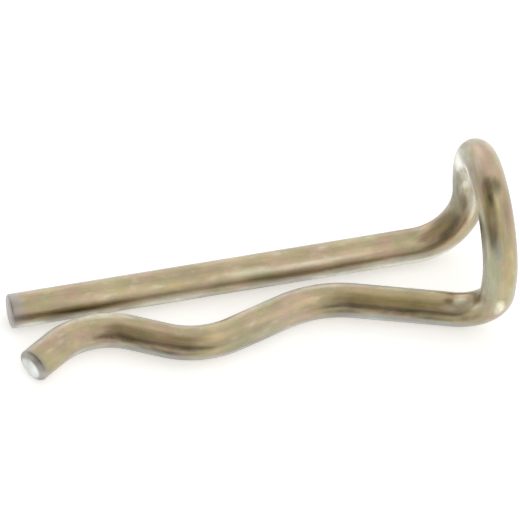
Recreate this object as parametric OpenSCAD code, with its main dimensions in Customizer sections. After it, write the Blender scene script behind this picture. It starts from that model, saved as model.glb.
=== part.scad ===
// Hairpin cotter bent from one length of round wire.
// A straight leg goes through the cross hole of a rod, a wave leg springs over the rod's outside,
// and the loop that joins them is bent up square to the legs, for a finger to pull.
// The straight leg lies along X with its cut end at the origin. The wave leg lies beside it,
// towards -Y, in the same plane, and the loop stands up along Z at the far end.

/* [Wire] */
// Diameter of the wire
wire_d = 2.5; // [2:0.1:3.2]
// Chamfer round each cut end
end_chamfer = 0.15; // [0.05:0.05:0.4]

/* [Straight leg] */
// Length from the cut end to the corner under the loop
leg_length = 33.5; // [30:0.5:60]
// Radius of the bend up into the loop, along the wire's centre
leg_foot_r = 4.3; // [2:0.1:5]

/* [Loop] */
// Radius of the loop, along the wire's centre
loop_r = 4.8; // [4:0.1:6]
// Height of the loop's centre above the legs
loop_height = 5.4; // [4.5:0.1:9]
// Distance between the loop's two feet, centre to centre
foot_spacing = 7.5; // [6.5:0.1:9]
// Lean of the loop away from the legs, in degrees
loop_lean = 1.5; // [-10:0.5:30]

/* [Wave leg] */
// Diameter of the rod that the wave grips
rod_d = 9.5; // [8:0.1:11.5]
// Distance of the rod's centre from the straight leg's end
rod_x = 13.2; // [11:0.1:15]
// How far the rod springs the wave leg open
spring_open = 0.2; // [0:0.05:0.6]
// Slope from the rod down to the crest by the loop, in degrees
loop_slope = 18.3; // [14:0.1:25]
// Clear gap between the legs at the crest by the loop
loop_crest_gap = 1.3; // [0.8:0.05:2]
// Radius of the crest by the loop, along the wire's centre
loop_crest_r = 8; // [5:0.1:8.5]
// Slope from the rod down to the crest by the ends, in degrees
end_slope = 28.8; // [22:0.1:35]
// Clear gap between the legs at the crest by the ends
end_crest_gap = 0.65; // [0.4:0.05:1.5]
// Radius of the crest by the ends, along the wire's centre
end_crest_r = 5.2; // [3:0.1:5.8]
// Angle at which the end flares away from the straight leg, in degrees
flare_angle = 35; // [25:1:40]
// Straight length of the flared end
flare_length = 2.45; // [1:0.05:6]
// Radius of the wave leg's bend up into the loop, along the wire's centre
wave_foot_r = 3.3; // [2:0.1:4]

/* [Hidden] */
$fn = 64;
wire_r = wire_d / 2;
// A bend draws the wire this much thinner all round.
bend_thinning = 0.01;
// Each straight run laps this far into the bends at its ends.
lap = 0.05;
// A foot's bend leaves at least this much of the loop's side straight.
least_side = 0.2;

// The loop's plane: across it from foot to foot, and up it.
loop_across = [0, -1, 0];
loop_up = [sin(loop_lean), 0, cos(loop_lean)];
leg_foot = [leg_length, 0, 0];
wave_foot = leg_foot + foot_spacing * loop_across;
loop_centre = (leg_foot + wave_foot) / 2 + loop_height * loop_up;
// The loop's straight sides run up from the feet, lean out by this angle and touch its circle.
foot_to_centre = norm([foot_spacing / 2, loop_height]);
side_angle = atan2(loop_height, foot_spacing / 2) - acos(loop_r / foot_to_centre);
side_length = sqrt(pow(foot_to_centre, 2) - pow(loop_r, 2));
leg_side = cos(side_angle) * loop_up - sin(side_angle) * loop_across;
wave_side = cos(side_angle) * loop_up + sin(side_angle) * loop_across;

// The wave leg's plan: x along the straight leg, y away from it.
// Headings of its four straight runs, from the loop to the end, are in degrees away from the straight leg.
trough_r = (rod_d + wire_d) / 2;
trough = [rod_x, -spring_open];
rod_run = loop_slope;
back_run = -end_slope;
end_run = flare_angle;
loop_crest = crest_centre(loop_crest_r, loop_crest_gap, rod_run);
end_crest = crest_centre(end_crest_r, end_crest_gap, back_run);
foot_to_crest = loop_crest - [wave_foot.x, -wave_foot.y];
foot_run = atan2(foot_to_crest.x, foot_to_crest.y) + acos(loop_crest_r / norm(foot_to_crest));
flare = on_crest(end_crest, end_crest_r, end_run);
cut_end = flare + flare_length * along(end_run);

// The bends at the loop's two feet.
leg_direction = [1, 0, 0];
leg_foot_turn = angle_between(leg_direction, leg_side);
leg_bend_r = foot_radius(leg_foot_r, leg_foot_turn);
leg_bend_reach = bend_reach(leg_bend_r, leg_foot_turn);
wave_direction = placed(along(foot_run));
wave_foot_turn = angle_between(-wave_side, wave_direction);
wave_bend_r = foot_radius(wave_foot_r, wave_foot_turn);
wave_bend_reach = bend_reach(wave_bend_r, wave_foot_turn);

// Unit vectors of the plan: along a heading, and square to it, away from the straight leg.
function along(angle) = [-cos(angle), sin(angle)];
function square_to(angle) = [sin(angle), cos(angle)];
// Centre of a crest that clears the straight leg by the gap, at the far end of a run that touches the trough.
function crest_centre(r, gap, run_heading) =
    let (reach = trough_r + r)
    let (drop = trough.y + reach * cos(run_heading) - (wire_d + gap + r))
    trough + reach * square_to(run_heading) - drop / sin(run_heading) * along(run_heading);
// Where a run touches a crest, or on its other side the trough.
function on_crest(centre, r, angle) = centre - r * square_to(angle);
function on_trough(angle) = trough + trough_r * square_to(angle);
// A point or direction of the plan, in the model's space.
function placed(p) = [p.x, -p.y, 0];
function unit(v) = v / norm(v);
function angle_between(a, b) = acos(unit(a) * unit(b));
// Length that a bend takes from the runs on both sides of its corner.
function bend_reach(r, turn) = r * tan(turn / 2);
// The largest bend radius, up to the wanted one, that leaves some of the loop's side straight.
function foot_radius(r, turn) = min(r, (side_length - least_side) / tan(turn / 2));

// Turns a child's Z axis along a direction.
module point_along(direction) {
    rotate([0, acos(unit(direction).z), atan2(direction.y, direction.x)])
        children();
}

// Straight wire from point a to point b, lapped into the bends at both ends.
module run(a, b) {
    translate(a)
        point_along(b - a)
            translate([0, 0, -lap])
                cylinder(r = wire_r, h = norm(b - a) + 2 * lap);
}

// Straight wire from its chamfered cut end to point b, lapped into the bend there.
module cut_run(cut_end, b) {
    length = norm(b - cut_end) + lap;
    translate(cut_end)
        point_along(b - cut_end)
            rotate_extrude()
                polygon([
                    [0, 0],
                    [wire_r - end_chamfer, 0],
                    [wire_r, end_chamfer],
                    [wire_r, length],
                    [0, length],
                ]);
}

// Bent wire that starts at a point with a direction, and turns round a centre.
module bend(centre, start, direction, angle) {
    out = unit(start - centre);
    axis = cross(out, direction);
    multmatrix([
        [out.x, direction.x, axis.x, centre.x],
        [out.y, direction.y, axis.y, centre.y],
        [out.z, direction.z, axis.z, centre.z],
    ])
        rotate_extrude(angle = angle)
            translate([norm(start - centre), 0])
                circle(r = wire_r - bend_thinning);
}

// Bend that rounds a corner between two directions.
module corner_bend(corner, from, to, r) {
    turn = angle_between(from, to);
    start = corner - bend_reach(r, turn) * from;
    inward = unit(to - (to * from) * from);
    bend(start + r * inward, start, from, turn);
}

// Bend towards the straight leg and away again, from one heading to the next.
module crest(centre, r, before, after) {
    bend(placed(centre), placed(on_crest(centre, r, before)), placed(along(before)), after - before);
}

// Bend that lies round the rod.
module rod_bend() {
    bend(placed(trough), placed(on_trough(rod_run)), placed(along(rod_run)), rod_run - back_run);
}

// The leg that goes through the rod, and its bend up into the loop.
module straight_leg() {
    cut_run([0, 0, 0], leg_foot - leg_bend_reach * leg_direction);
    corner_bend(leg_foot, leg_direction, leg_side, leg_bend_r);
}

// The loop, from the top of one foot's bend to the top of the other.
module loop() {
    leg_touch = leg_foot + side_length * leg_side;
    wave_touch = wave_foot + side_length * wave_side;
    run(leg_foot + leg_bend_reach * leg_side, leg_touch);
    bend(loop_centre, leg_touch, leg_side, 180 + 2 * side_angle);
    run(wave_touch, wave_foot + wave_bend_reach * wave_side);
}

// The sprung leg: its bend down from the loop, two crests, the trough between them and the flared end.
module wave_leg() {
    corner_bend(wave_foot, -wave_side, wave_direction, wave_bend_r);
    run(
        wave_foot + wave_bend_reach * wave_direction,
        placed(on_crest(loop_crest, loop_crest_r, foot_run))
    );
    crest(loop_crest, loop_crest_r, foot_run, rod_run);
    run(placed(on_crest(loop_crest, loop_crest_r, rod_run)), placed(on_trough(rod_run)));
    rod_bend();
    run(placed(on_trough(back_run)), placed(on_crest(end_crest, end_crest_r, back_run)));
    crest(end_crest, end_crest_r, back_run, end_run);
    cut_run(placed(cut_end), placed(flare));
}

module cotter_pin() {
    color([0.73, 0.66, 0.54]) {
        straight_leg();
        loop();
        wave_leg();
    }
}

cotter_pin();
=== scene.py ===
"""Hairpin cotter pin of zinc plated wire: its looks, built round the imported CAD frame."""
import math

import bpy
import numpy as np
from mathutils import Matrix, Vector


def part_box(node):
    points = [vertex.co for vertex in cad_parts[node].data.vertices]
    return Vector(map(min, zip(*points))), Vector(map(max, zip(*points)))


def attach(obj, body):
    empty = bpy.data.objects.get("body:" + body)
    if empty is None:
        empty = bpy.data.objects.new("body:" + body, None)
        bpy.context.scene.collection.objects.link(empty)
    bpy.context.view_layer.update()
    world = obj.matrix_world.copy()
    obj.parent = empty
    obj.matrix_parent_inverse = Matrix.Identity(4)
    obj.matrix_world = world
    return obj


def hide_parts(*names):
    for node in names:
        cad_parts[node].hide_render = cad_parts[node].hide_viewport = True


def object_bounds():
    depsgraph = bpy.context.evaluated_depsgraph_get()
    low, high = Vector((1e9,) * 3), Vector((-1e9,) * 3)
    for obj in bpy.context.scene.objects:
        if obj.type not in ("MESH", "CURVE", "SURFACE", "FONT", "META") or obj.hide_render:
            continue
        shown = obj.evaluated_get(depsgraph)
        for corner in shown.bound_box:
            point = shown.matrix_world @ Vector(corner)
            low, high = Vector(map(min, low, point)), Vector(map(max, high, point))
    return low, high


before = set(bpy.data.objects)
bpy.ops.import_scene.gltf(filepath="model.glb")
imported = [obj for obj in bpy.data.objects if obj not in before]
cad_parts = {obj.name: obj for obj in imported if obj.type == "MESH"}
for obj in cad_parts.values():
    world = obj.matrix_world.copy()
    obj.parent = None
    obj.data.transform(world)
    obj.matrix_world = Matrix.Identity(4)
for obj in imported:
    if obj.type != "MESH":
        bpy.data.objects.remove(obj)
cad_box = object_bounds()

# Sizes in this script are in millimetres, and angles in degrees. The scene is in metres.
MM = 0.001

# ---------------------------------------------------------------- sizes of the wire

# The wire's radius in the CAD solid. The CAD's bends are up to THINNING thinner all round than its straight
# runs. The visible wire is that thin all along, so that it stays inside them.
CAD_WIRE_R = -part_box("cotter_pin")[0].z / MM
THINNING = 0.015
WIRE_R = CAD_WIRE_R - THINNING

# The path of the wire's centre, as the CAD solid has it. The straight leg, and its bend up into the loop:
LEG_LENGTH = 33.5
LEG_FOOT_R = 4.3
# The loop's radius, its centre's height, the distance between its feet, and its lean away from the legs:
LOOP_R = 4.8
LOOP_HEIGHT = 5.4
FOOT_SPACING = 7.5
LOOP_LEAN = 1.5
# The rod that the wave leg's trough grips, its place along the straight leg, and how far it springs the leg:
ROD_D = 9.5
ROD_X = 13.2
SPRING_OPEN = 0.2
# The slope from the trough to the crest by the loop, the crest's gap to the straight leg, and its radius:
LOOP_SLOPE = 18.3
LOOP_CREST_GAP = 1.3
LOOP_CREST_R = 8
# The same for the crest by the ends:
END_SLOPE = 28.8
END_CREST_GAP = 0.65
END_CREST_R = 5.2
# The wave leg's flared end, and its bend up into the loop:
FLARE_ANGLE = 35
FLARE_LENGTH = 2.45
WAVE_FOOT_R = 3.3

# The wire's mesh: points in a ring, and the distance between rings.
SIDES = 64
RING_STEP = 0.16
# The cut ends are rounded over, at the straight leg and at the wave leg: how far along the wire, and how far
# in over the cut face. Then the angle from one ring to the next over the rounding.
LEG_ROUNDING = 0.2
LEG_ROUNDED_IN = 0.45
WAVE_ROUNDING = 0.25
WAVE_ROUNDED_IN = 0.65
ROUNDING_STEP = 10
# The rings on a cut face, as shares of the radius at which its rounding starts.
FACE_RINGS = (0.3, 0.55, 0.8)

# ---------------------------------------------------------------- marks on the wire, most of them painted light

# The middle of the bare steel on the wave leg's cut face: how far from the wire's centre, and at which angle
# round it. It sits off the middle where the highlight falls, so the bare steel there is also a painted
# highlight.
BARE_SHIFT = 0.3
BARE_ANGLE = 165
# How far the plating is thin and grey, from the cut at the straight leg and at the wave leg.
LEG_GREY = 1.9
WAVE_GREY = 0.7
# Marks, placed to match the photograph: kind, distance along the wire from the straight leg's cut, angle
# round it from its top there, half its length, half its width as an angle, and strength. Most of them are
# painted
# light: the dark kind is painted shade and painted reflection of shadow, the pale kind and the lightest kind
# are painted highlights and painted reflections of the white floor, and the olive, green and cool kinds are
# the plating's tint with painted shade and painted reflection in it. The pink kind tints the plating pink.
MARKS = [
    # straight leg
    ("dark", 1.2, 72, 1.5, 18, 0.6),
    ("pale", 1.5, 107, 2.2, 18, 0.8),
    ("painted_highlight", 1.5, 113, 1.8, 16, 0.8),
    ("dark", 2.5, 46, 2.4, 10, 0.25),
    ("dark", 3.0, 92, 1.8, 12, 0.35),
    ("pale", 5.0, 103, 3.6, 18, 0.8),
    ("dark", 5.5, 68, 3.8, 15, 0.42),
    ("pale", 12.0, 103, 4.5, 18, 0.8),
    ("olive", 15.0, 37, 2.0, 12, 0.4),
    ("cool", 16.0, 70, 15.0, 12, 0.2),
    ("pale", 16.0, 70, 15.0, 12, 0.18),
    ("painted_highlight", 17.0, 37, 2.6, 12, 0.3),
    ("dark", 19.0, 92, 2.0, 12, 0.2),
    ("painted_highlight", 20.5, 45, 6.0, 12, 0.3),
    ("dark", 20.5, 61, 5.0, 11, 0.1),
    ("pale", 20.5, 103, 5.0, 18, 0.9),
    ("dark", 23.0, 9, 2.2, 14, 0.15),
    ("painted_highlight", 23.6, 112, 3.0, 16, 0.7),
    ("dark", 25.0, 51, 2.4, 10, 0.15),
    ("cool", 25.0, 79, 3.0, 10, 0.4),
    ("pale", 25.0, 79, 3.0, 10, 0.2),
    ("dark", 28.0, 48, 3.0, 10, 0.15),
    ("pale", 28.0, 103, 4.5, 18, 0.9),
    ("dark", 29.0, -5, 3.0, 14, 0.12),
    ("cool", 29.0, 79, 3.0, 12, 0.4),
    ("pale", 29.0, 79, 3.0, 12, 0.3),
    ("painted_highlight", 29.0, 112, 3.4, 16, 1.3),
    ("dark", 29.5, -36, 4.0, 14, 0.5),
    ("olive", 31.0, 51, 1.6, 12, 0.5),
    # foot bend under the back of the loop
    ("dark", 33.2, 47, 3.3, 20, 0.5),
    ("dark", 33.6, 2, 3.2, 26, 0.35),
    ("dark", 34.4, -26, 3.0, 20, 0.35),
    ("dark", 34.8, 46, 2.2, 14, 0.4),
    ("dark", 35.0, 9, 1.6, 14, 0.4),
    ("dark", 35.3, 48, 1.5, 14, 0.8),
    ("painted_highlight", 35.3, 80, 1.6, 12, 0.6),
    ("green", 35.4, 30, 2.6, 36, 0.6),
    ("pale", 35.6, 22, 1.6, 9, 0.6),
    ("pale", 35.6, 68, 1.6, 16, 0.9),
    ("dark", 35.8, -8, 2.4, 22, 0.75),
    ("dark", 36.6, 8, 2.2, 18, 0.3),
    ("painted_highlight", 36.9, 32, 0.9, 9, 0.7),
    ("green", 37.0, 6, 2.8, 22, 1.0),
    ("painted_highlight", 37.6, 48, 1.0, 12, 1.5),
    ("dark", 37.7, 12, 1.0, 12, 0.3),
    ("painted_highlight", 37.9, 52, 2.7, 22, 1.0),
    ("pale", 38.2, 26, 2.2, 13, 1.0),
    ("painted_highlight", 38.9, 41, 1.9, 15, 1.5),
    ("pale", 39.2, 46, 1.4, 12, 1.5),
    ("painted_highlight", 39.4, 48, 1.0, 12, 1.5),
    ("painted_highlight", 40.4, 0, 2.1, 34, 1.3),
    # loop
    ("dark", 41.0, -88, 0.9, 14, 0.4),
    ("dark", 41.0, -60, 1.3, 24, 0.6),
    ("pink", 42.4, -78, 1.2, 18, 0.7),
    ("dark", 43.0, -47, 1.5, 14, 0.2),
    ("green", 43.5, -44, 3.2, 24, 0.5),
    ("painted_highlight", 43.8, -4, 1.2, 14, 0.8),
    ("pink", 44.3, -102, 1.7, 32, 1.0),
    ("pale", 44.6, -68, 1.6, 16, 0.35),
    ("dark", 44.9, -30, 3.0, 24, 0.5),
    ("dark", 46.2, -99, 0.8, 42, 0.9),
    ("dark", 46.8, -84, 0.8, 13, 1.1),
    ("dark", 47.0, -131, 2.2, 20, 0.25),
    ("pink", 47.6, -136, 3.2, 26, 0.6),
    ("olive", 48.3, -102, 1.7, 14, 0.7),
    ("dark", 48.3, -20, 1.0, 18, 1.2),
    ("dark", 48.9, -44, 0.9, 22, 0.6),
    ("dark", 49.0, -61, 1.6, 15, 0.42),
    ("green", 49.0, -46, 2.0, 20, 1.0),
    ("dark", 49.0, -20, 1.6, 14, 0.6),
    ("dark", 49.2, -48, 1.3, 11, 0.3),
    ("dark", 49.2, -34, 1.8, 16, 0.2),
    ("pale", 49.6, -45, 1.5, 10, 0.6),
    ("pale", 50.0, -88, 1.0, 18, 0.5),
    ("dark", 51.0, -26, 3.2, 14, 0.2),
    ("dark", 51.4, -16, 2.0, 10, 0.35),
    ("green", 51.6, -62, 3.4, 44, 1.0),
    ("pale", 52.4, -24, 4.2, 20, 1.0),
    ("painted_highlight", 55.0, -97, 1.1, 18, 1.0),
    ("pale", 55.0, -77, 1.6, 12, 0.3),
    ("dark", 55.3, 8, 1.2, 16, 0.8),
    ("pale", 55.8, -26, 1.8, 12, 0.25),
    ("painted_highlight", 56.0, -24, 2.0, 15, 0.15),
    ("green", 56.6, -52, 1.6, 22, 0.4),
    ("olive", 56.8, -52, 1.8, 18, 0.6),
    ("dark", 57.0, -48, 1.4, 14, 0.3),
    # wave leg
    ("dark", 58.2, -58, 1.8, 16, 0.6),
    ("painted_highlight", 58.7, 4, 1.0, 16, 0.5),
    ("pale", 58.8, -20, 2.0, 18, 0.5),
    ("pale", 59.0, -8, 1.0, 14, 0.5),
    ("dark", 59.9, 4, 0.5, 15, 0.8),
    ("dark", 61.0, -62, 2.4, 12, 0.8),
    ("cool", 63.5, -88, 7.5, 30, 1.0),
    ("dark", 63.5, -50, 6.4, 19, 0.72),
    ("dark", 63.5, 50, 5.5, 14, 0.2),
    ("pale", 64.0, -95, 3.4, 15, 0.6),
    ("olive", 64.0, -6, 6.5, 42, 0.9),
    ("pale", 64.5, 54, 6.0, 21, 1.2),
    ("dark", 67.0, -36, 1.8, 12, 0.5),
    ("dark", 67.2, -62, 2.2, 13, 0.75),
    ("pale", 68.8, 46, 3.4, 22, 0.8),
    ("dark", 69.0, -26, 3.2, 20, 0.35),
    ("dark", 71.0, -47, 1.8, 14, 0.2),
    ("pale", 72.0, -94, 2.4, 14, 0.6),
    ("pink", 72.5, 0, 2.4, 24, 0.4),
    ("pale", 72.5, 55, 5.0, 21, 1.2),
    ("cool", 74.0, -48, 4.0, 22, 0.3),
    ("dark", 74.0, -46, 3.6, 20, 0.15),
    ("cool", 75.0, -90, 5.0, 24, 0.6),
    ("pale", 77.0, -93, 2.6, 14, 0.7),
    ("dark", 77.0, -19, 1.8, 16, 0.2),
    ("olive", 79.0, -33, 2.4, 14, 0.5),
    ("olive", 79.0, -12, 2.0, 22, 0.3),
    ("dark", 79.6, -47, 2.2, 16, 0.75),
    ("dark", 80.0, 50, 3.5, 14, 0.15),
    ("dark", 80.6, -63, 2.6, 16, 0.85),
    ("dark", 80.8, -48, 1.8, 12, 0.35),
    ("pale", 81.0, 55, 6.0, 21, 1.2),
    ("cool", 82.0, -84, 4.5, 26, 0.9),
    ("olive", 82.0, 9, 3.0, 14, 0.4),
    ("pink", 82.5, 6, 2.4, 14, 0.4),
    ("dark", 82.6, 22, 2.0, 12, 0.15),
    ("dark", 83.8, -49, 3.2, 17, 1.0),
    ("olive", 84.5, -18, 2.2, 14, 0.2),
    ("dark", 85.0, -60, 1.6, 12, 0.6),
    ("dark", 85.0, -33, 2.0, 14, 0.35),
    ("olive", 85.0, -33, 2.0, 12, 0.4),
    ("pale", 85.5, 50, 3.0, 32, 1.0),
    ("painted_highlight", 85.8, 58, 2.6, 26, 0.8),
    ("dark", 86.8, -17, 1.8, 24, 0.37),
    ("pale", 87.0, -62, 1.8, 12, 0.15),
    ("pale", 87.5, -86, 2.6, 18, 0.8),
    ("pale", 89.0, 58, 4.5, 26, 1.2),
    ("pink", 89.4, -20, 1.4, 22, 0.2),
    ("dark", 91.0, -61, 0.9, 14, 0.2),
    ("dark", 91.0, 98, 0.9, 22, 0.6),
    ("dark", 91.7, -20, 0.4, 50, 0.5),
]

# ---------------------------------------------------------------- looks

WHITE = (1.0, 1.0, 1.0)
BLACK = (0.0, 0.0, 0.0)

# Kinds of marks, in the order in which they are laid on: the colour that each brings, and how fully.
MARK_KINDS = {
    # Olive, green and cool are the plating's tint with painted shade and painted reflection in them. Pink
    # only tints the plating.
    "olive": ((0.37, 0.30, 0.145), 0.9),
    "green": ((0.41, 0.425, 0.315), 0.85),
    "pink": ((0.475, 0.35, 0.26), 0.9),
    "cool": ((0.40, 0.41, 0.39), 0.9),
    # Pale and the lightest kind after it are painted highlights and painted reflections of the white floor.
    "pale": ((0.78, 0.76, 0.66), 0.9),
    "painted_highlight": ((0.97, 0.96, 0.79), 1.0),
    # Dark is painted shade and painted reflection of shadow.
    "dark": ((0.085, 0.06, 0.035), 0.8),
}
# The thin plating at the ends and the bare cut face: their colours, and the strengths of each at which it
# starts and is full.
GREY_ZINC = (0.44, 0.40, 0.365)
GREY_FADE = (0.1, 0.9)
BARE_STEEL = (0.93, 0.93, 0.90)
CUT_FADE = (0.3, 0.9)
# Noise makes the marks ragged: their strength is multiplied by RAGGED_NOISE times it, plus RAGGED_BASE.
RAGGED_NOISE = 1.6
RAGGED_BASE = 0.2

# Noises on the wire as if straight: scale along it as a share of that across it, features per mm, detail.
NOISES = {
    "wide": (0.75, 0.75, 3),
    "fine": (0.75, 2.4, 2),
    "gold": (0.4, 1.5, 2),
    "specks": (0.5, 1.9, 2),
    "ragged": (0.6, 2.0, 3),
    "patches": (0.5, 0.7, 3),
    "streaks": (0.06, 6.0, 2),
    "grain": (1, 9.0, 2),
}
# The plating's own colour, and the drifts from it: the noise that places each, the noise's values at which
# it starts and is full, how fully it then covers, and its colour.
TAN = (0.47, 0.38, 0.24)
ROSE = (0.515, 0.375, 0.265)
OLIVE = (0.425, 0.378, 0.212)
GOLD = (0.55, 0.43, 0.23)
PALE = (0.66, 0.60, 0.46)
DRIFTS = [
    ("wide", 0.50, 0.64, 1.0, ROSE),
    ("wide", 0.50, 0.38, 1.0, OLIVE),
    ("fine", 0.52, 0.72, 0.6, ROSE),
    ("fine", 0.48, 0.30, 0.6, OLIVE),
    ("gold", 0.55, 0.75, 0.8, GOLD),
    ("specks", 0.52, 0.85, 0.55, PALE),
]
# The plating is lighter and darker in streaks and patches: between which values of the noise it changes, and
# the factors on its colour at both.
STREAKS_RANGE = (0.3, 0.7)
STREAKS_SHADE = (0.95, 1.04)
PATCHES_RANGE = (0.35, 0.65)
PATCHES_SHADE = (0.88, 1.10)
# How rough the plating is at both ends of the streaks' range, and how much an attribute of 1 adds to that.
STREAKS_ROUGH = (0.26, 0.34)
ROUGHER = {"dark": 0.08, "pale": 0.3, "grey": 0.2, "cut": 0.15}
# The clear coat over the plating: its weight and roughness.
COAT = 0.3
COAT_ROUGH = 0.2
# The relief of drawing lines and grain: the lines' height beside the grain's, its strength and its depth.
STREAKS_RELIEF = 0.5
RELIEF_STRENGTH = 0.35
RELIEF_DEPTH = 0.01

# The floor: how far it reaches each way, its own colour, and what it adds to that for the camera.
FLOOR_REACH = 600
FLOOR_COLOUR = (0.85, 0.85, 0.85)
FLOOR_GLOW = (0.5, 0.5, 0.5)
# What it adds in the metal's reflections: warm in front of the pin, cool under and behind it, with the Y at
# which each is full.
FLOOR_FRONT = -12
FLOOR_UNDER = -7
FLOOR_FRONT_GLOW = (0.43, 0.43, 0.36)
FLOOR_UNDER_GLOW = (0.40, 0.44, 0.50)

# Soft zones in the white studio that the metal mirrors. Two are brighter and three darker.
ZONES = [
    # azimuth and elevation of its middle, angles from there at which it starts to fade and ends, colour
    (8, 62, 2, 35, (1.5, 1.5, 1.5)),
    (185, 17, 2, 23, (1.36, 1.36, 1.42)),
    (-70, 43, 39, 55, (0.45, 0.42, 0.33)),
    (-125, 0, 15, 50, (0.69, 0.69, 0.69)),
    (-28, -11, 38, 44, (0.19, 0.187, 0.202)),
]

# The photograph's camera: where it stands, and how wide its view is at its aim.
CAMERA_AZIMUTH = -12.41
CAMERA_ELEVATION = 47.99
CAMERA_DISTANCE = 1500
VIEW_WIDTH = 36.73
# It aims this far right of the middle of the straight leg's cut end and above it, as it sees them.
AIM_RIGHT = 17.783
AIM_UP = 3.648
# Its sensor's width, and the nearest and furthest that it sees.
SENSOR_WIDTH = 36
CLIP_START = 10
CLIP_END = 10000


def sin(angle):
    """Sine of an angle in degrees."""
    return math.sin(math.radians(angle))


def cos(angle):
    """Cosine of an angle in degrees."""
    return math.cos(math.radians(angle))


def unit(vector):
    """A vector of the same direction and length 1."""
    return vector / np.linalg.norm(vector)


def direction(azimuth, elevation):
    """Unit vector towards an azimuth and elevation: azimuth 0 is -Y, and 90 is +X."""
    return Vector((sin(azimuth) * cos(elevation), -cos(azimuth) * cos(elevation), sin(elevation)))


# ---------------------------------------------------------------- the wire's path

# Directions along the straight leg, across the loop and up it. Then the loop's two feet and its centre.
ALONG_LEG = np.array([1.0, 0.0, 0.0])
ACROSS_LOOP = np.array([0.0, -1.0, 0.0])
UP_LOOP = np.array([sin(LOOP_LEAN), 0.0, cos(LOOP_LEAN)])
LEG_FOOT = LEG_LENGTH * ALONG_LEG
WAVE_FOOT = LEG_FOOT + FOOT_SPACING * ACROSS_LOOP
LOOP_CENTRE = (LEG_FOOT + WAVE_FOOT) / 2 + LOOP_HEIGHT * UP_LOOP
# The loop's straight sides run up from its feet, lean out by an angle and touch its circle.
FOOT_TO_CENTRE = math.hypot(FOOT_SPACING / 2, LOOP_HEIGHT)
SIDE_LENGTH = math.sqrt(FOOT_TO_CENTRE**2 - LOOP_R**2)
SIDE_ANGLE = math.degrees(math.atan2(LOOP_HEIGHT, FOOT_SPACING / 2) - math.acos(LOOP_R / FOOT_TO_CENTRE))
LEG_SIDE = cos(SIDE_ANGLE) * UP_LOOP - sin(SIDE_ANGLE) * ACROSS_LOOP
WAVE_SIDE = cos(SIDE_ANGLE) * UP_LOOP + sin(SIDE_ANGLE) * ACROSS_LOOP
# The wave leg's plan has x along the straight leg and y away from it. Its trough lies round the rod.
TROUGH = np.array([ROD_X, -SPRING_OPEN])
TROUGH_R = ROD_D / 2 + CAD_WIRE_R


class Run:
    """Straight wire from one point to another."""

    def __init__(self, start, end):
        self.start = start
        self.heading = unit(end - start)
        self.length = float(np.linalg.norm(end - start))

    def at(self, distance):
        """Point and direction at a distance along the run."""
        return self.start + distance * self.heading, self.heading


class Bend:
    """Wire bent round a centre, from a start point and direction, by an angle."""

    def __init__(self, centre, start, heading, angle):
        self.centre = centre
        self.start = start
        self.heading = unit(heading)
        self.out = unit(start - centre)
        self.radius = float(np.linalg.norm(start - centre))
        self.length = self.radius * math.radians(angle)
        self.end = self.at(self.length)[0]

    def at(self, distance):
        """Point and direction at a distance along the bend."""
        turn = math.degrees(distance / self.radius)
        out = cos(turn) * self.out + sin(turn) * self.heading
        ahead = cos(turn) * self.heading - sin(turn) * self.out
        return self.centre + self.radius * out, ahead


def corner_bend(corner, before, after, radius):
    """The bend that rounds a corner between two directions."""
    turn = math.degrees(math.acos(float(unit(before) @ unit(after))))
    start = corner - radius * math.tan(math.radians(turn / 2)) * before
    inward = unit(after - (after @ before) * before)
    return Bend(start + radius * inward, start, before, turn)


def plan_along(heading):
    """Direction of the plan, by its heading in degrees away from the straight leg."""
    return np.array([-cos(heading), sin(heading)])


def plan_square(heading):
    """Direction of the plan that is square to a heading, away from the straight leg."""
    return np.array([sin(heading), cos(heading)])


def placed(point):
    """A point or direction of the plan, in the model's space."""
    return np.array([point[0], -point[1], 0.0])


def plan_bend(centre, radius, before, after):
    """A bend of the plan from one heading to the next: a crest if the heading grows, or else a trough."""
    start = centre + math.copysign(radius, before - after) * plan_square(before)
    return Bend(placed(centre), placed(start), placed(plan_along(before)), abs(after - before))


def crest_centre(radius, gap, heading):
    """Centre of a crest that clears the straight leg by a gap, where a run that touches the trough ends."""
    reach = TROUGH_R + radius
    drop = TROUGH[1] + reach * cos(heading) - (2 * CAD_WIRE_R + gap + radius)
    return TROUGH + reach * plan_square(heading) - drop / sin(heading) * plan_along(heading)


def heading_to_crest(crest):
    """Heading of the run from the wave leg's foot to the crest by the loop, which it touches."""
    x, y = crest - np.array([LEG_LENGTH, FOOT_SPACING])
    return math.degrees(math.atan2(x, y) + math.acos(LOOP_CREST_R / math.hypot(x, y)))


def wire_path():
    """The wire's runs and bends, from the straight leg's end, round the loop, to the wave leg's end."""
    loop_crest = crest_centre(LOOP_CREST_R, LOOP_CREST_GAP, LOOP_SLOPE)
    end_crest = crest_centre(END_CREST_R, END_CREST_GAP, -END_SLOPE)
    foot_run = heading_to_crest(loop_crest)
    bends = [
        corner_bend(LEG_FOOT, ALONG_LEG, LEG_SIDE, LEG_FOOT_R),
        Bend(LOOP_CENTRE, LEG_FOOT + SIDE_LENGTH * LEG_SIDE, LEG_SIDE, 180 + 2 * SIDE_ANGLE),
        corner_bend(WAVE_FOOT, -WAVE_SIDE, placed(plan_along(foot_run)), WAVE_FOOT_R),
        plan_bend(loop_crest, LOOP_CREST_R, foot_run, LOOP_SLOPE),
        plan_bend(TROUGH, TROUGH_R, LOOP_SLOPE, -END_SLOPE),
        plan_bend(end_crest, END_CREST_R, -END_SLOPE, FLARE_ANGLE),
    ]
    path = []
    reached = np.zeros(3)
    for bend in bends:
        path += [Run(reached, bend.start), bend]
        reached = bend.end
    return path + [Run(reached, reached + FLARE_LENGTH * placed(plan_along(FLARE_ANGLE)))]


def path_point(path, distance):
    """Point and direction at a distance along the path."""
    for part in path:
        if distance <= part.length or part is path[-1]:
            return part.at(distance)
        distance -= part.length


# ---------------------------------------------------------------- the wire's mesh


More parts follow.
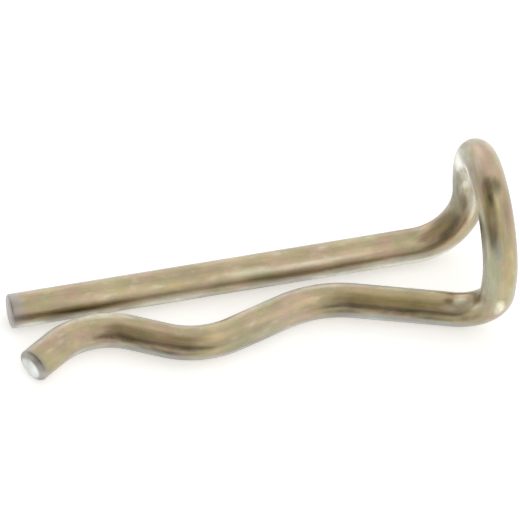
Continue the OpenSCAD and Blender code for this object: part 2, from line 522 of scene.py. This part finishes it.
def rounded_end(rounding, rounded_in):
    """The rings of a cut end, from its face's middle out: the depth from the cut and the radius of each."""
    face = [(0, share * (WIRE_R - rounded_in)) for share in FACE_RINGS]
    angles = range(0, 90, ROUNDING_STEP)
    edge = [(rounding * (1 - cos(angle)), WIRE_R - rounded_in * (1 - sin(angle))) for angle in angles]
    return face + edge


def wire_rings(length):
    """All rings, from end to end of the wire: the distance along it and the radius of each."""
    start = rounded_end(LEG_ROUNDING, LEG_ROUNDED_IN)
    end = rounded_end(WAVE_ROUNDING, WAVE_ROUNDED_IN)
    count = round((length - LEG_ROUNDING - WAVE_ROUNDING) / RING_STEP)
    middle = np.linspace(LEG_ROUNDING, length - WAVE_ROUNDING, count + 1)
    plain = [(distance, WIRE_R) for distance in middle]
    return start + plain + [(length - depth, radius) for depth, radius in reversed(end)]


def wire_points(path, rings):
    """Points of the rings and of the ends' middles, and where each is on the wire while still straight."""
    circle = [(cos(360 * i / SIDES), sin(360 * i / SIDES)) for i in range(SIDES)]
    points = []
    drawn = []
    top = np.array([0.0, 0.0, 1.0])
    for distance, radius in rings:
        middle, heading = path_point(path, distance)
        top = unit(top - (top @ heading) * heading)
        side = np.cross(heading, top)
        for x, y in circle:
            points.append(middle + radius * (x * top + y * side))
            drawn.append((radius * x, radius * y, distance))
    length = rings[-1][0]
    points += [path_point(path, 0)[0], path_point(path, length)[0]]
    drawn += [(0, 0, 0), (0, 0, length)]
    return np.array(points) * MM, np.array(drawn, np.float32)


def wire_faces(ring_count):
    """Faces from ring to ring, and from the first and last ring to the ends' middles, which come last."""
    neighbours = [(i, (i + 1) % SIDES) for i in range(SIDES)]
    last_ring = (ring_count - 1) * SIDES
    first_middle = last_ring + SIDES
    last_middle = first_middle + 1
    faces = [(first_middle, j, i) for i, j in neighbours]
    for ring in range(0, last_ring, SIDES):
        following = ring + SIDES
        faces += [(ring + i, ring + j, following + j, following + i) for i, j in neighbours]
    return faces + [(last_middle, last_ring + i, last_ring + j) for i, j in neighbours]


def mark_strength(kind, drawn):
    """How strongly each point lies in a kind of marks: strongest in a mark's middle, 0 from its edge out."""
    strength = np.zeros(len(drawn))
    around = np.degrees(np.arctan2(drawn[:, 1], drawn[:, 0]))
    for mark, distance, angle, half_length, half_width, most in MARKS:
        if mark == kind:
            aside = (around - angle + 180) % 360 - 180
            reach = ((drawn[:, 2] - distance) / half_length) ** 2 + (aside / half_width) ** 2
            strength = np.maximum(strength, most * np.clip(1 - reach, 0, 1))
    return strength


def cut_strength(drawn, length):
    """How bare each point of the wave leg's cut face is. The straight leg's cut face is plated over."""
    inward = WIRE_R - np.hypot(
        drawn[:, 0] - BARE_SHIFT * cos(BARE_ANGLE),
        drawn[:, 1] - BARE_SHIFT * sin(BARE_ANGLE),
    )
    return np.where(drawn[:, 2] > length - WAVE_ROUNDING, np.clip(inward / WAVE_ROUNDED_IN, 0, 1), 0)


def grey_strength(drawn, length):
    """How grey the thin plating at the ends is: 1 at the cuts, fading out along the wire."""
    from_leg = 1 - drawn[:, 2] / LEG_GREY
    from_wave = 1 - (length - drawn[:, 2]) / WAVE_GREY
    return np.clip(np.maximum(from_leg, from_wave), 0, 1)


def wire_mesh():
    """The wire's mesh. Its attributes keep each point's place on the still straight wire, and the marks."""
    path = wire_path()
    length = sum(part.length for part in path)
    rings = wire_rings(length)
    points, drawn = wire_points(path, rings)
    mesh = bpy.data.meshes.new("wire")
    mesh.from_pydata(points.tolist(), [], wire_faces(len(rings)))
    mesh.attributes.new("drawn", "FLOAT_VECTOR", "POINT").data.foreach_set("vector", drawn.ravel())
    strengths = {kind: mark_strength(kind, drawn) for kind in MARK_KINDS}
    strengths["cut"] = cut_strength(drawn, length)
    strengths["grey"] = grey_strength(drawn, length)
    for name, values in strengths.items():
        data = mesh.attributes.new(name, "FLOAT", "POINT").data
        data.foreach_set("value", values.astype(np.float32))
    mesh.shade_smooth()
    mesh.update()
    return mesh


# ---------------------------------------------------------------- materials


class NodeTree:
    """The nodes of a material or a world."""

    def __init__(self, owner):
        owner.use_nodes = True
        self.nodes = owner.node_tree.nodes
        self.links = owner.node_tree.links

    def feed(self, node, inputs):
        """Gives each of a node's inputs, by name or index, a number, a colour or another node's output."""
        for name, value in inputs.items():
            socket = node.inputs[name]
            if isinstance(value, (int, float)):
                socket.default_value = value
            elif isinstance(value, tuple):
                socket.default_value = (*value, 1)
            else:
                self.links.new(value, socket)

    def new(self, kind, inputs=None, **settings):
        """A new node, with its settings and inputs."""
        node = self.nodes.new("ShaderNode" + kind)
        for name, value in settings.items():
            setattr(node, name, value)
        self.feed(node, inputs or {})
        return node

    def attribute(self, name, output="Fac"):
        """An attribute of the mesh."""
        return self.new("Attribute", attribute_name=name).outputs[output]

    def calculate(self, operation, *operands):
        """A Math node's operation on numbers or other nodes' outputs."""
        return self.new("Math", dict(enumerate(operands)), operation=operation).outputs["Value"]

    def ramp(self, value, start, end, low=0.0, high=1.0):
        """Carries a value smoothly from low to high as it goes from start to end."""
        inputs = {"Value": value, "From Min": start, "From Max": end, "To Min": low, "To Max": high}
        return self.new("MapRange", inputs, interpolation_type="SMOOTHSTEP").outputs["Result"]

    def blend(self, share, below, above):
        """Lays a share of one colour over another."""
        inputs = {"Factor": share, "A": below, "B": above}
        return self.new("Mix", inputs, data_type="RGBA").outputs["Result"]

    def noise(self, place, along, scale, detail):
        """Noise on the wire as if straight, with its scale along it as a share of that across it."""
        mapping = self.new("Mapping", {"Vector": place})
        mapping.inputs["Scale"].default_value = (1, 1, along)
        inputs = {"Vector": mapping.outputs["Vector"], "Scale": scale, "Detail": detail}
        return self.new("TexNoise", inputs).outputs["Fac"]


def plating_colour(tree, noises):
    """Yellow zinc plating: tan that drifts to rose, olive, gold and pale, drawn out along the wire."""
    colour = TAN
    for name, start, full, most, drift in DRIFTS:
        colour = tree.blend(tree.ramp(noises[name], start, full, 0, most), colour, drift)
    return colour


def mark_share(tree, name, ragged):
    """Share of the surface that a kind of mark takes, with an edge that noise makes ragged."""
    wobble = tree.calculate("MULTIPLY_ADD", ragged, RAGGED_NOISE, RAGGED_BASE)
    return tree.calculate("MINIMUM", tree.calculate("MULTIPLY", tree.attribute(name), wobble), 1.0)


def marked_colour(tree, colour, ragged):
    """The plating's colour with grey ends, then the marks, and the bare cut face on top."""
    colour = tree.blend(tree.ramp(mark_share(tree, "grey", ragged), *GREY_FADE), colour, GREY_ZINC)
    for kind, (tint, most) in MARK_KINDS.items():
        share = tree.calculate("MULTIPLY", mark_share(tree, kind, ragged), most)
        colour = tree.blend(share, colour, tint)
    return tree.blend(tree.ramp(tree.attribute("cut"), *CUT_FADE), colour, BARE_STEEL)


def shaded_colour(tree, colour, noises):
    """A colour made lighter and darker in streaks and patches."""
    streaks = tree.ramp(noises["streaks"], *STREAKS_RANGE, *STREAKS_SHADE)
    patches = tree.ramp(noises["patches"], *PATCHES_RANGE, *PATCHES_SHADE)
    inputs = {0: colour, "Scale": tree.calculate("MULTIPLY", streaks, patches)}
    return tree.new("VectorMath", inputs, operation="SCALE").outputs["Vector"]


def roughness(tree, noises):
    """Smoother and rougher streaks, rougher still in marks of painted shade and painted reflection and at
    the ends.
    """
    rough = tree.ramp(noises["streaks"], *STREAKS_RANGE, *STREAKS_ROUGH)
    for name, more in ROUGHER.items():
        rough = tree.calculate("MULTIPLY_ADD", tree.attribute(name), more, rough)
    return rough


def relief(tree, noises):
    """Fine lines from the drawing of the wire, and grain."""
    height = tree.calculate("MULTIPLY_ADD", noises["streaks"], STREAKS_RELIEF, noises["grain"])
    inputs = {"Strength": RELIEF_STRENGTH, "Distance": RELIEF_DEPTH * MM, "Height": height}
    return tree.new("Bump", inputs).outputs["Normal"]


def zinc_wire():
    """Yellow zinc on drawn steel wire, with marks of painted shade, painted highlights and painted
    reflections, grey ends, and one bare cut face.
    """
    material = bpy.data.materials.new("zinc_wire")
    tree = NodeTree(material)
    place = tree.attribute("drawn", "Vector")
    noises = {name: tree.noise(place, *settings) for name, settings in NOISES.items()}
    colour = marked_colour(tree, plating_colour(tree, noises), noises["ragged"])
    surface = {
        "Base Color": shaded_colour(tree, colour, noises),
        "Metallic": 1,
        "Roughness": roughness(tree, noises),
        "Normal": relief(tree, noises),
        "Coat Weight": COAT,
        "Coat Roughness": COAT_ROUGH,
    }
    tree.feed(tree.nodes["Principled BSDF"], surface)
    return material


def floor_material():
    """Pale matt floor. The camera sees it as white; the metal mirrors it warm in front and cool beneath."""
    material = bpy.data.materials.new("floor")
    tree = NodeTree(material)
    position = tree.new("SeparateXYZ", {"Vector": tree.new("NewGeometry").outputs["Position"]})
    under = tree.ramp(position.outputs["Y"], FLOOR_FRONT * MM, FLOOR_UNDER * MM)
    ray = tree.new("LightPath").outputs
    glow = tree.blend(under, FLOOR_FRONT_GLOW, FLOOR_UNDER_GLOW)
    glow = tree.blend(ray["Is Glossy Ray"], BLACK, glow)
    glow = tree.blend(ray["Is Camera Ray"], glow, FLOOR_GLOW)
    surface = {
        "Base Color": FLOOR_COLOUR,
        "Roughness": 1,
        "Specular IOR Level": 0,
        "Emission Color": glow,
        "Emission Strength": 1,
    }
    tree.feed(tree.nodes["Principled BSDF"], surface)
    return material


# ---------------------------------------------------------------- wire and studio


def make_wire():
    """The wire, which stands for the CAD solid."""
    wire = bpy.data.objects.new("wire", wire_mesh())
    bpy.context.scene.collection.objects.link(wire)
    wire.data.materials.append(zinc_wire())
    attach(wire, "root")
    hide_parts("cotter_pin")


def make_floor():
    """The floor, at the height of the legs' underside."""
    reach = FLOOR_REACH * MM
    z = cad_box[0].z
    mesh = bpy.data.meshes.new("floor")
    corners = [(-reach, -reach, z), (reach, -reach, z), (reach, reach, z), (-reach, reach, z)]
    mesh.from_pydata(corners, [], [(0, 1, 2, 3)])
    mesh.materials.append(floor_material())
    floor = bpy.data.objects.new("floor", mesh)
    bpy.context.scene.collection.objects.link(floor)


def make_world():
    """The studio that the metal mirrors. The camera sees white instead."""
    world = bpy.data.worlds.new("studio")
    bpy.context.scene.world = world
    tree = NodeTree(world)
    towards = tree.new("TexCoord").outputs["Generated"]
    colour = WHITE
    for azimuth, elevation, inner, outer, tint in ZONES:
        facing = tree.new("VectorMath", {0: towards}, operation="DOT_PRODUCT")
        facing.inputs[1].default_value = direction(azimuth, elevation)
        share = tree.ramp(facing.outputs["Value"], cos(outer), cos(inner))
        colour = tree.blend(share, colour, tint)
    colour = tree.blend(tree.new("LightPath").outputs["Is Camera Ray"], colour, WHITE)
    tree.feed(tree.nodes["Background"], {"Color": colour})


def make_camera():
    """The photograph's camera. It has no roll, so its right is level."""
    back = direction(CAMERA_AZIMUTH, CAMERA_ELEVATION)
    right = Vector((cos(CAMERA_AZIMUTH), sin(CAMERA_AZIMUTH), 0))
    aim = right * (AIM_RIGHT * MM) + back.cross(right) * (AIM_UP * MM)
    data = bpy.data.cameras.new("camera")
    data.sensor_width = SENSOR_WIDTH
    data.lens = SENSOR_WIDTH * CAMERA_DISTANCE / VIEW_WIDTH
    data.clip_start = CLIP_START * MM
    data.clip_end = CLIP_END * MM
    camera = bpy.data.objects.new("camera", data)
    bpy.context.scene.collection.objects.link(camera)
    camera.location = aim + back * (CAMERA_DISTANCE * MM)
    camera.rotation_mode = "QUATERNION"
    camera.rotation_quaternion = (-back).to_track_quat("-Z", "Y")
    bpy.context.scene.camera = camera


make_wire()
make_floor()
make_world()
make_camera()
bpy.context.scene.view_settings.view_transform = "Standard"
